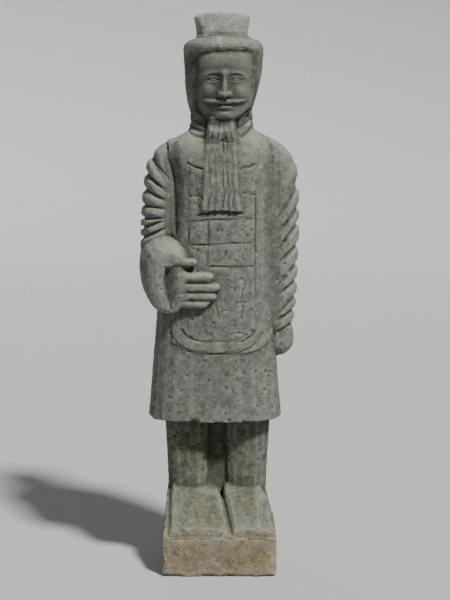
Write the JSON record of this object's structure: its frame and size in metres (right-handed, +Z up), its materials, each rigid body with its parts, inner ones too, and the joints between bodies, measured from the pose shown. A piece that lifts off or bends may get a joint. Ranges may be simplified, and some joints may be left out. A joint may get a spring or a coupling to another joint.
{
  "type": "stone warrior statue",
  "caption": "Standing armoured warrior carved with its square plinth from one block of grey-green stone, with a pleated scarf, a block cap, one hand on the belly and a knee-length tunic.",
  "frame": {"origin": "Middle of the plinth's underside, where the statue rests on the ground.", "axes": "+Z is up. The figure faces -Y. +X is towards the figure's own left hand, which hangs at its side."},
  "size_m": [0.4335, 0.2954, 1.5],
  "materials": {
    "volcanic_stone": "rough carved, pitted, with soil stain at the plinth"
  },
  "bodies": {
    "root": {"stone_warrior": "volcanic_stone"}
  },
  "joints": []
}
